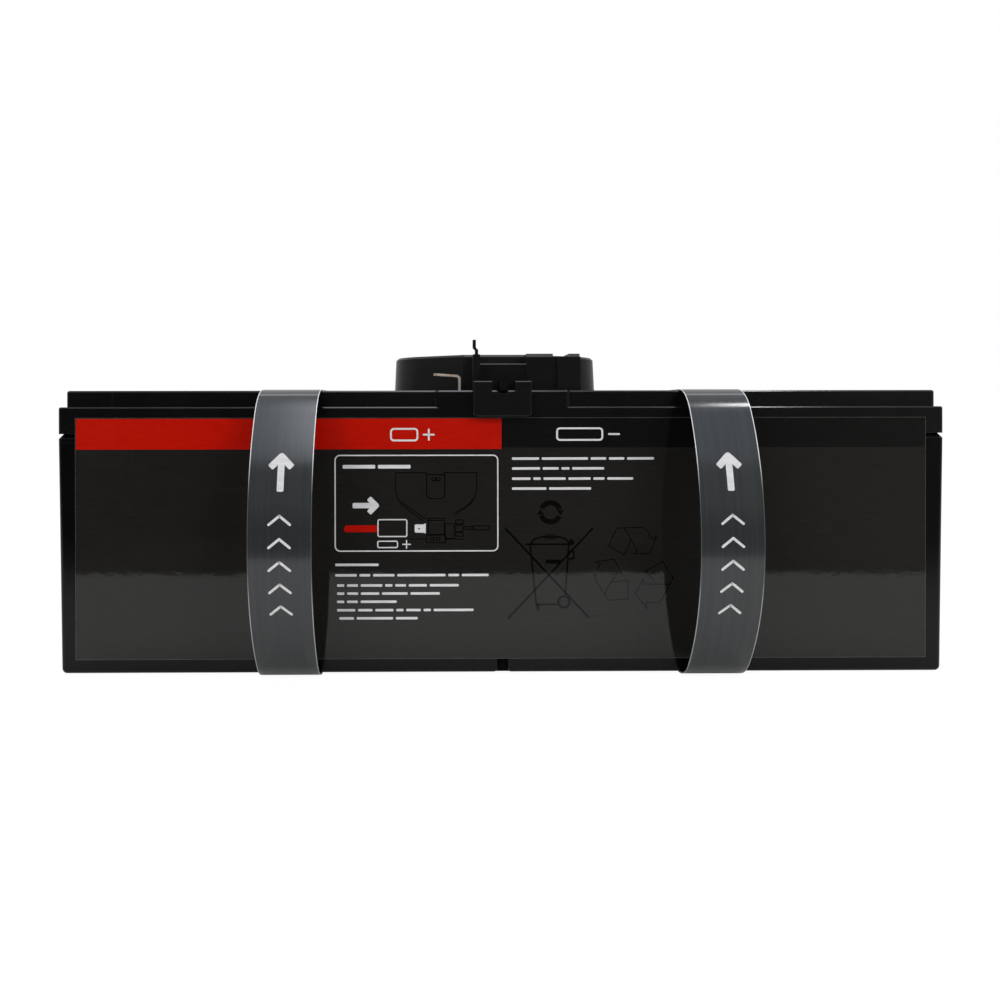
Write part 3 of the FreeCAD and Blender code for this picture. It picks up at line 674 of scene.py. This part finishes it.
def addArrow(shape, across, tip, length, values, turn=0.0):
    # Two slanted wings that share the middle line, and a stem below them, with rounded ends.
    # It is drawn pointing up and then turned about its tip, clockwise in degrees.
    faces, verts = set(shape.faces), set(shape.verts)
    wing, half = values["wing"], values["pen"] / 2
    drop = half * math.sqrt(2)
    peak, crotch = (shape.verts.new(flatPoint(across, down)) for down in (tip, tip + 2 * drop))
    ends = []
    for way in (-1, 1):
        outer = shape.verts.new(flatPoint(across + way * wing, tip + wing))
        under = shape.verts.new(flatPoint(across + way * (wing - drop), tip + wing + drop))
        shape.faces.new([peak, outer, under, crotch])
        ends += [outer, under]
    left, right = (shape.verts.new(flatPoint(across + way * half, tip + 2 * drop + half)) for way in (-1, 1))
    ends += [shape.verts.new(flatPoint(across + way * half, tip + length)) for way in (1, -1)]
    shape.faces.new([crotch, right] + ends[-2:] + [left])
    for corners, offset in ((ends, values["corner"]), ([peak], values["peakRound"])):
        bmesh.ops.bevel(shape, geom=corners, offset=offset, segments=inkSet["arrowSteps"], profile=0.5,
                        affect="VERTICES", material=-1)
    made = [face for face in shape.faces if face not in faces]
    bmesh.ops.recalc_face_normals(shape, faces=made)
    thicken(shape, made)
    made = [vert for vert in shape.verts if vert not in verts]
    spin = Matrix.Rotation(math.radians(turn), 3, "Y")
    bmesh.ops.rotate(shape, cent=flatPoint(across, tip), matrix=spin, verts=made)


def addRing(shape, centre, outer, line):
    # A ring, or a full disc where the line is as wide as the radius.
    verts = bmesh.ops.create_circle(shape, cap_ends=True, radius=outer, segments=inkSet["ringSteps"])["verts"]
    bmesh.ops.rotate(shape, cent=(0, 0, 0), matrix=upright, verts=verts)
    bmesh.ops.translate(shape, vec=flatPoint(*centre), verts=verts)
    face = verts[0].link_faces[0]
    if line < outer:
        addRim(shape, face, line)
    else:
        thicken(shape, [face])


def addArc(shape, centre, radius, start, turn, width):
    # A curved pen line; start and turn in degrees, anticlockwise from the right.
    middle = flatPoint(*centre)
    way = Vector((math.cos(math.radians(start)), 0, math.sin(math.radians(start))))
    ends = [shape.verts.new(middle + way * (radius + side * width / 2)) for side in (-1, 1)]
    edge = shape.edges.new(ends)
    steps = max(4, int(abs(turn) / inkSet["arcStep"]))
    before = set(shape.faces)
    bmesh.ops.spin(shape, geom=ends + [edge], cent=middle, axis=(0, 1, 0), angle=-math.radians(turn), steps=steps)
    thicken(shape, [face for face in shape.faces if face not in before])


def layInk(name, shape, ink, origin, node, lift=0.0, creases=(), size=1.0):
    # Moves flat ink to its origin, folds it at the creases on to the face of its node, and makes the piece.
    bmesh.ops.scale(shape, vec=[size * mm] * 3, verts=shape.verts)
    bmesh.ops.translate(shape, vec=(origin[0], 0, origin[1]), verts=shape.verts)
    for height in creases:
        everything = shape.verts[:] + shape.edges[:] + shape.faces[:]
        bmesh.ops.bisect_plane(shape, geom=everything, plane_co=(0, 0, height), plane_no=(0, 0, 1))
    bmesh.ops.recalc_face_normals(shape, faces=shape.faces)
    carrier = bmesh.new()
    carrier.from_mesh(frame["nodes"][node].data)
    surface = BVHTree.FromBMesh(carrier)
    castFrom = cadBox[0][1] - inkSet["castFrom"] * mm
    for vert in shape.verts:
        hit = surface.ray_cast(Vector((vert.co.x, castFrom, vert.co.z)), Vector((0, 1, 0)))[0]
        vert.co.y += hit.y - lift * mm
    carrier.free()
    piece = makePiece(name, shape, ink)
    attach(piece, "root")


def layLabelInk(name, shape, ink, lift=0.0):
    # The label bends where the lids' rims stand out over the cases.
    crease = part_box("left_jar")[1][2]
    corner = (labelLow[0], labelHigh[2])
    layInk(name, shape, inks[ink], corner, "front_label", lift, (crease,), sheetScale)


bandSet = {"split": 146.2, "depth": 10.9, "blackDepth": 10.4, "inset": 0.35, "edgeInset": 0.02, "edgeLine": 0.2}


def makeBands(values):
    # A red field over the left battery's half, a black one over the right's, and the film's pale cut edge.
    width = inkSet["sheetWidth"]
    height = (labelHigh[2] - labelLow[2]) / (mm * sheetScale)
    inset, rim = values["inset"], values["edgeInset"]
    red, black, edge = bmesh.new(), bmesh.new(), bmesh.new()
    addBar(red, inset, inset, values["split"], values["depth"])
    addBar(black, values["split"], inset, width - inset, values["blackDepth"])
    addFrame(edge, rim, rim, width - rim, height - rim, 0, values["edgeLine"])
    layLabelInk("label_red_field", red, "red")
    layLabelInk("label_black_field", black, "black")
    layLabelInk("label_film_edge", edge, "filmEdge")


makeBands(bandSet)


# In the artwork a frame is its left, top, right and bottom, and the round of its corners.
signSet = {
    "line": 0.62, "arm": 1.75, "clear": 0.33, "plus": (121.2, 5.9), "minus": (184.9, 5.8), "lift": 0.02,
    "frames": [(107.9, 3.6, 117.6, 8.2, 1.3), (165.0, 3.5, 181.2, 8.1, 1.3)],
}


def makeSigns(values):
    # Polarity signs on the two fields, each beside a plain rounded frame.
    shape = bmesh.new()
    line, arm = values["line"], values["arm"]
    addPlus(shape, values["plus"], arm, line, values["clear"])
    addMinus(shape, values["minus"], arm, line)
    for frameSize in values["frames"]:
        addFrame(shape, *frameSize, line)
    layLabelInk("label_polarity_signs", shape, "white", values["lift"])


makeSigns(signSet)


# Each line is its left end, its middle height, its right end, and how its length is shared out in bars.
wordSet = {
    "height": 0.85, "headHeight": 1.25, "gap": 0.95, "corner": 0.3, "heading": (91.6, 16.9, 114.9, (7, 7)),
    "lines": [
        (89.0, 50.6, 103.9, (7,)), (89.0, 54.2, 141.7, (4, 2, 4, 9, 2, 5)),
        (89.6, 57.7, 131.4, (2, 3, 6, 2, 3, 5, 8)), (89.6, 60.5, 124.9, (2, 3, 5, 7, 8)),
        (89.6, 63.3, 110.1, (2, 3, 10)), (89.6, 66.2, 136.5, (5, 4, 5, 2, 4, 2, 11)),
        (90.4, 69.0, 117.3, (4, 10, 6)), (149.8, 14.2, 198.7, (7, 12, 4, 4, 7)),
        (149.8, 17.6, 181.5, (7, 4, 2, 8)), (149.8, 21.1, 191.5, (5, 2, 6, 6, 3, 7)), (149.8, 24.5, 177.0, (9, 11)),
    ],
}


def addWords(shape, left, middle, right, pattern, values, tall):
    # A line of print as short rounded bars.
    room = right - left - values["gap"] * (len(pattern) - 1)
    unit = room / sum(pattern)
    start = left
    for share in pattern:
        end = start + share * unit
        addBar(shape, start, middle - tall / 2, end, middle + tall / 2, values["corner"])
        start = end + values["gap"]


def makeWords(values):
    shape = bmesh.new()
    addWords(shape, *values["heading"], values, values["headHeight"])
    for line in values["lines"]:
        addWords(shape, *line, values, values["height"])
    layLabelInk("label_line_marks", shape, "white")


makeWords(wordSet)


guideSet = {
    "frame": (88.8, 12.8, 145.1, 46.1, 1.9), "line": 0.42, "tip": (104.4, 30.25), "length": 9.4, "wing": 3.2,
    "pen": 1.85, "corner": 0.4, "peakRound": 0.8, "turn": 90.0, "plug": (103.5, 34.9, 113.8, 41.1, 0.7),
    "plugLine": 0.4, "sign": (103.4, 42.3, 110.6, 44.9, 0.7), "plus": (113.5, 43.6), "arm": 1.3, "clear": 0.25,
    "lead": [(92.6, 37.0), (103.4, 37.0), (103.4, 39.4), (92.6, 39.4), (91.9, 38.7)],
    "blade": [(116.6, 36.75), (119.3, 36.75), (120.1, 36.4), (120.1, 39.9), (119.3, 39.6), (116.6, 39.6),
              (116.3, 39.2), (116.3, 37.1)],
}


def makeGuide(values):
    # The framed guide: an arrow, a lead with its plug, and the blade that it goes on.
    white, red = bmesh.new(), bmesh.new()
    addFrame(white, *values["frame"], values["line"])
    addArrow(white, *values["tip"], values["length"], values, values["turn"])
    addFrame(white, *values["plug"], values["plugLine"])
    addPolygon(white, values["blade"])
    addFrame(white, *values["sign"], values["line"])
    addPlus(white, values["plus"], values["arm"], values["line"], values["clear"])
    addPolygon(red, values["lead"])
    layLabelInk("label_guide_frame", white, "white")
    layLabelInk("label_guide_lead", red, "red")


makeGuide(guideSet)


planSet = {
    "line": 0.3, "hole": (117.8, 38.2), "screws": [(122.3, 41.7), (124.4, 41.7)], "screw": 0.75, "lift": 0.02,
    "paths": [
        [(120.4, 19.0), (109.8, 19.0), (109.8, 25.2)],
        [(126.6, 19.0), (137.6, 19.0), (137.6, 24.9)],
        [(120.4, 19.0), (120.4, 26.9), (121.4, 27.9), (125.6, 27.9), (126.6, 26.9), (126.6, 19.0)],
        [(120.6, 19.7), (126.4, 19.7)], [(120.8, 35.4), (126.6, 35.4)],
        [(109.8, 25.2), (110.3, 27.4), (111.4, 29.3), (114.2, 31.9), (119.0, 35.4)],
        [(111.9, 28.9), (114.8, 31.4), (119.9, 34.7)],
        [(137.6, 24.9), (137.1, 27.2), (136.0, 29.2), (134.2, 31.0), (130.2, 33.3)],
        [(136.3, 27.9), (135.2, 29.5), (133.6, 30.8), (130.4, 32.6)],
        [(114.9, 41.8), (120.1, 41.8)], [(127.2, 41.8), (133.4, 41.8)],
    ],
    "frames": [
        (122.1, 20.6, 123.7, 21.9, 0.5), (123.6, 20.6, 125.2, 21.9, 0.5), (120.8, 34.5, 126.6, 40.3, 0),
        (120.2, 40.3, 127.1, 43.2, 0.3), (126.6, 36.4, 130.0, 41.7, 0), (130.2, 35.1, 133.1, 36.7, 0.2),
        (130.2, 36.8, 133.1, 39.4, 0.5), (130.2, 39.5, 133.1, 41.0, 0.2), (133.1, 37.4, 136.2, 38.6, 0.3),
        (136.2, 37.1, 142.2, 38.8, 0.2),
    ],
}


def makePlan(values):
    # A fine line plan of the connector, seen from above.
    shape = bmesh.new()
    pen = values["line"]
    for points in values["paths"]:
        addPath(shape, points, pen)
    for frameSize in values["frames"]:
        addFrame(shape, *frameSize, pen)
    for centre in values["screws"]:
        addRing(shape, centre, values["screw"], pen)
    addRing(shape, values["hole"], pen, pen)
    layLabelInk("label_connector_plan", shape, "shadow", values["lift"])


makePlan(planSet)


pictogramSet = {
    "line": 0.6, "fine": 0.3, "cross": 0.7,
    "turning": {"centre": (163.0, 32.7), "radius": 3.3, "pen": 1.75, "starts": (18, 198), "turn": 138},
    "turningHeads": [[(165.2, 32.0), (167.7, 31.9), (166.5, 33.8)], [(160.8, 33.4), (158.3, 33.5), (159.5, 31.6)]],
    "crossed": [[(147.6, 38.3), (176.0, 68.8)], [(177.5, 38.3), (148.4, 69.2)]],
    "bin": [
        [(154.5, 43.7), (170.4, 43.7)],
        [(156.2, 43.6), (157.3, 41.9), (160.5, 41.1), (166.0, 41.1), (168.2, 41.9), (169.6, 43.4)],
        [(156.0, 44.0), (158.1, 64.4)], [(169.3, 44.0), (168.1, 60.9)], [(158.1, 64.4), (165.2, 64.4)],
        [(169.0, 46.2), (171.0, 46.2), (171.0, 48.6), (169.2, 48.8)],
    ],
    "foot": [(158.7, 64.8), (158.7, 66.0)], "footPen": 1.08, "lid": (161.2, 40.3, 164.8, 41.9, 0.3),
    "band": (161.3, 49.0, 166.4, 50.4), "knob": ((170.2, 43.0), 1.0, 1.0), "wheel": ((167.6, 63.6), 2.3, 0.75),
    "leaf": [(188.3, 38.2), (186.0, 38.2), (182.9, 44.2), (188.5, 47.5), (190.8, 42.2)],
    "head": [(188.3, 38.2), (189.1, 39.3), (190.8, 42.2), (192.8, 45.9), (191.6, 46.9), (197.2, 47.0), (199.7, 40.8),
             (198.2, 42.1), (195.8, 38.5), (194.3, 37.9), (188.3, 38.1)],
    "folds": ((0, 190.9, 51.9), (-120, 191.6, 51.5), (120, 190.7, 52.4)),
}


def makePictograms(values):
    # Dark on dark: a turning ring, a crossed wheeled bin, and three folded arrows in a round.
    shape = bmesh.new()
    turning, fine = values["turning"], values["fine"]
    for start in turning["starts"]:
        addArc(shape, turning["centre"], turning["radius"], start, turning["turn"], turning["pen"])
    for points in values["turningHeads"]:
        addPolygon(shape, points)
    for points in values["crossed"]:
        addPath(shape, points, values["cross"])
    for points in values["bin"]:
        addPath(shape, points, values["line"])
    addPath(shape, values["foot"], values["footPen"])
    addFrame(shape, *values["lid"], fine)
    addBar(shape, *values["band"])
    addRing(shape, *values["knob"])
    addRing(shape, *values["wheel"])
    for turn, across, down in values["folds"]:
        middle = Vector((across, down))
        swing = Matrix.Rotation(math.radians(turn), 2)
        for line in (values["leaf"], values["head"]):
            addPath(shape, [tuple(middle + swing @ (Vector(point) - middle)) for point in line], fine)
    layLabelInk("label_pictograms", shape, "shadow")


makePictograms(pictogramSet)


pullMarkSet = {
    "arrowTop": 76.75, "arrowLength": 12.45, "pen": 2.15, "wing": 4.2, "corner": 0.45, "peakRound": 1.1,
    "chevronTop": 56.8, "chevronPitch": 7.2, "chevrons": 5, "chevronHalf": 3.3, "chevronRise": 2.7,
    "chevronPen": 0.8, "bendStep": 1.2, "bendRows": (12, 66), "lift": 0.01,
}


def makePullMarks(side, values):
    # An arrow up the strap and a row of plain chevrons below it, cut often enough to follow its curve.
    node = side + "_pull_strap"
    low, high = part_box(node)
    shape = bmesh.new()
    addArrow(shape, 0, -values["arrowTop"], values["arrowLength"], values)
    for step in range(values["chevrons"]):
        peak = (0, -values["chevronTop"] + step * values["chevronPitch"])
        for way in (-1, 1):
            wing = (way * values["chevronHalf"], peak[1] + values["chevronRise"])
            addStroke(shape, wing, peak, values["chevronPen"])
    heights = [row * values["bendStep"] * mm for row in range(*values["bendRows"])]
    origin = ((low[0] + high[0]) / 2, 0.0)
    layInk(side + "_strap_marks", shape, inks["white"], origin, node, values["lift"], heights)


for side in ("left", "right"):
    makePullMarks(side, pullMarkSet)
print("print laid on the label and the straps")


# Foam pressed between the two cases: its end shows in the notch under the label. Its near-black colour is painted
# shade, far darker than the joining tape.
notchFoamSet = dict(
    tapeSet, outline=((2.25, 0.2), (1.62, 0.75), (1.26, 1.8), (1.17, 11.0)), front=1.9, depth=24.0,
    # The near-black foam colours are painted shade in the notch.
    dark=(0.0014, 0.0012, 0.0012, 1), light=(0.0026, 0.0023, 0.0022, 1), rough=(0.8, 0.95), specular=0.1,
)


def makeNotchFoam(values):
    # The outline is half of the pad's, as half widths and heights that follow the gap.
    left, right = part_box("left_jar"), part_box("right_jar")
    middle, base = (left[1][0] + right[0][0]) / 2, left[0][2]
    front = left[0][1] + values["front"] * mm
    outline = list(values["outline"]) + [(-across, height) for across, height in reversed(values["outline"])]
    shape = bmesh.new()
    end = shape.faces.new([shape.verts.new((middle + across * mm, front, base + height * mm))
                           for across, height in outline])
    pushOut(shape, [end], values["depth"] * mm)
    bmesh.ops.recalc_face_normals(shape, faces=shape.faces)
    piece = makePiece("notch_foam", shape, closedFoam("notchFoamPaintedShade", values))
    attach(piece, "root")


makeNotchFoam(notchFoamSet)
print("foam set between the cases")


# Studio: a pale sheet that ends a little in front of the label, a dark room beyond it, soft lamps above.

def mirroredRays(tree, path):
    return maths(tree, "MAXIMUM", path.outputs["Is Glossy Ray"], path.outputs["Is Transmission Ray"])


def whiteToTheLens(name, values):
    # Seen directly or in a reflection the sheet glows white; other light sees a plain pale sheet.
    # What the label mirrors of it is dimmer, and a painted shadow makes it dimmest close in front of the pack.
    material, tree, shader = newMaterial(name, values)
    spot = place(tree)
    grain = noise(tree, spot, values["grain"])
    feed(tree, blend(tree, grain, values["dark"], values["light"]), shader.inputs["Base Color"])
    shader.inputs["Roughness"].default_value = values["rough"]
    # Painted shadow: the mirrored glow fades close in front of the label.
    away = maths(tree, "SUBTRACT", faceDepth, axes(tree, spot)["Y"])
    near, far = (distance * mm for distance in values["paintedShadowSpan"])
    mirroredWithPaintedShadow = ramp(tree, away, near, far, values["paintedShadowLevel"], values["mirrored"])
    glow = tree.nodes.new("ShaderNodeEmission")
    glow.inputs["Strength"].default_value = values["glow"]
    path = tree.nodes.new("ShaderNodeLightPath")
    mirrored = times(tree, mirroredRays(tree, path), mirroredWithPaintedShadow)
    seen = times(tree, path.outputs["Is Camera Ray"], values["seen"])
    mix = tree.nodes.new("ShaderNodeMixShader")
    feed(tree, maths(tree, "MAXIMUM", seen, mirrored), mix.inputs[0])
    feed(tree, shader.outputs[0], mix.inputs[1])
    feed(tree, glow.outputs[0], mix.inputs[2])
    feed(tree, mix.outputs[0], tree.nodes["Material Output"].inputs["Surface"])
    return material


sheetSet = {
    "front": 194.0, "back": 1600.0, "half": 1500.0, "dark": (0.86, 0.86, 0.85, 1), "light": (0.88, 0.88, 0.875, 1),
    "grain": 300.0, "rough": 0.8, "seen": 0.88, "mirrored": 0.3, "paintedShadowLevel": 0.1, "paintedShadowSpan": (8.0, 80.0), "glow": 1.08,
}


def makeSheet(values):
    shape = bmesh.new()
    bmesh.ops.create_grid(shape, x_segments=1, y_segments=1, size=0.5)
    front, back = faceDepth - values["front"] * mm, values["back"] * mm
    bmesh.ops.scale(shape, vec=(2 * values["half"] * mm, back - front, 1), verts=shape.verts)
    bmesh.ops.translate(shape, vec=(0, (front + back) / 2, 0), verts=shape.verts)
    makePiece("paleSheet", shape, whiteToTheLens("paleSheet", values))


makeSheet(sheetSet)


roomSet = {
    "size": (4.0, 1.6, 1.7), "middle": 0.65, "patch": (2.2, 2.0), "patchSpan": (0.35, 0.7),
    "dark": (0.010, 0.010, 0.009, 1), "light": (0.09, 0.086, 0.078, 1), "right": (0.26, 0.25, 0.235, 1),
    "rightSpan": (0.1, 1.3), "upper": (0.26, 0.27, 0.28, 1), "upperRight": (0.48, 0.49, 0.50, 1),
    "upperSpan": (0.14, 0.6),
}


def roomGlow(name, values):
    material, tree, shader = newMaterial(name, values)
    tree.nodes.remove(shader)
    glow = tree.nodes.new("ShaderNodeEmission")
    spot = place(tree)
    at = axes(tree, spot)
    patch = ramp(tree, noise(tree, spot, *values["patch"]), *values["patchSpan"])
    rightward = ramp(tree, at["X"], *values["rightSpan"])
    lower = blend(tree, rightward, blend(tree, patch, values["dark"], values["light"]), values["right"])
    upper = blend(tree, rightward, values["upper"], values["upperRight"])
    colour = blend(tree, ramp(tree, at["Z"], *values["upperSpan"]), lower, upper)
    feed(tree, colour, glow.inputs["Color"])
    feed(tree, glow.outputs[0], tree.nodes["Material Output"].inputs["Surface"])
    return material


def makeRoom(values, back):
    # A dark wall and floor in front, lighter to the right and higher up, met only by reflections.
    shape = bmesh.new()
    bmesh.ops.create_cube(shape, size=1.0)
    bmesh.ops.scale(shape, vec=values["size"], verts=shape.verts)
    bmesh.ops.translate(shape, vec=(0, back - values["size"][1] / 2, values["middle"]), verts=shape.verts)
    opened = [face for face in shape.faces if face.normal.y > 0.5 or face.normal.z > 0.5]
    bmesh.ops.delete(shape, geom=opened, context="FACES")
    room = makePiece("darkRoom", shape, roomGlow("darkRoom", values))
    room.visible_camera = room.visible_diffuse = room.visible_shadow = room.visible_transmission = False


makeRoom(roomSet, faceDepth - sheetSet["front"] * mm)


# Directions are shares of a unit vector; the panel's forward span is its distance over its height.
airSet = {
    "fill": 0.30, "white": (1, 1, 1, 1), "back": (0.68, 0.69, 0.70, 1), "ceiling": (0.77, 0.85, 0.95, 1),
    "ceilingUp": (0.15, 0.5), "ceilingBack": (0.5, -0.1), "side": (0.36, 0.36, 0.37, 1), "sideAcross": (0.35, 0.85),
    "sideUp": (0.7, 0.2), "panel": (6.0, 6.2, 6.6, 1), "panelAcross": (-0.17, -0.10, 0.05, 0.13),
    "panelForward": (-0.5, 0.25, 1.7, 0.5), "panelUp": (0.0, 0.2), "leastUp": 0.05,
}


def makeWorld(values):
    # White to the lens. The gloss picks up a greyer back and sides, a cool ceiling and a long lit panel in it.
    world = bpy.data.worlds.new("studioAir")
    world.use_nodes = True
    scene.world = world
    tree = world.node_tree
    background = tree.nodes["Background"]
    path = tree.nodes.new("ShaderNodeLightPath")
    mirrored = mirroredRays(tree, path)
    seen = maths(tree, "MAXIMUM", path.outputs["Is Camera Ray"], mirrored)
    way = axes(tree, tree.nodes.new("ShaderNodeTexCoord").outputs["Generated"])
    across, back, up = (way[axis] for axis in "XYZ")
    overhead = times(tree, ramp(tree, up, *values["ceilingUp"]), ramp(tree, back, *values["ceilingBack"]))
    sideways = ramp(tree, maths(tree, "ABSOLUTE", across), *values["sideAcross"])
    sideways = times(tree, sideways, ramp(tree, up, *values["sideUp"]))
    forward = maths(tree, "DIVIDE", back, maths(tree, "MAXIMUM", up, values["leastUp"]))
    forward = times(tree, forward, -1.0)
    left, leftFull, rightFull, right = values["panelAcross"]
    near, nearFull, far, farFull = values["panelForward"]
    inPanel = ramp(tree, up, *values["panelUp"])
    for value, low, high in ((across, left, leftFull), (across, right, rightFull),
                             (forward, near, nearFull), (forward, far, farFull)):
        inPanel = times(tree, inPanel, ramp(tree, value, low, high))
    tone = blend(tree, overhead, values["back"], values["ceiling"])
    tone = blend(tree, sideways, tone, values["side"])
    tone = blend(tree, inPanel, tone, values["panel"])
    feed(tree, blend(tree, mirrored, values["white"], tone), background.inputs["Color"])
    feed(tree, ramp(tree, seen, 0.0, 1.0, values["fill"], 1.0), background.inputs["Strength"])


makeWorld(airSet)


lampSet = {
    "overhead": {"at": (0.0, 0.1, 1.3), "aim": (0, 0, 0.05), "size": (1.4, 1.4), "power": 12.0},
    "ceilingRight": {"at": (0.45, -0.03, 1.25), "aim": (0.45, -0.03, 0.0), "size": (0.05, 0.17), "power": 1.1,
                     "inGloss": True},
    "frontLeft": {"at": (-0.8, -1.1, 0.8), "aim": (0, 0, 0.05), "size": (0.7, 0.7), "power": 6.5},
    "frontRight": {"at": (0.9, -1.1, 0.8), "aim": (0, 0, 0.05), "size": (0.7, 0.7), "power": 9.5},
}


def makeLamp(name, values):
    # Places are in metres. Only the narrow lamp on the right shows in the gloss.
    lampData = bpy.data.lights.new(name, "AREA")
    lampData.shape = "RECTANGLE"
    lampData.size, lampData.size_y = values["size"]
    lampData.energy = values["power"]
    lamp = bpy.data.objects.new(name, lampData)
    lamp.location = values["at"]
    lamp.rotation_euler = (Vector(values["aim"]) - Vector(values["at"])).to_track_quat("-Z", "Y").to_euler()
    lamp.visible_glossy = values.get("inGloss", False)
    lamp.visible_camera = False
    scene.collection.objects.link(lamp)


for name, values in lampSet.items():
    makeLamp(name, values)
scene.view_settings.view_transform = "Standard"
print("studio lit")
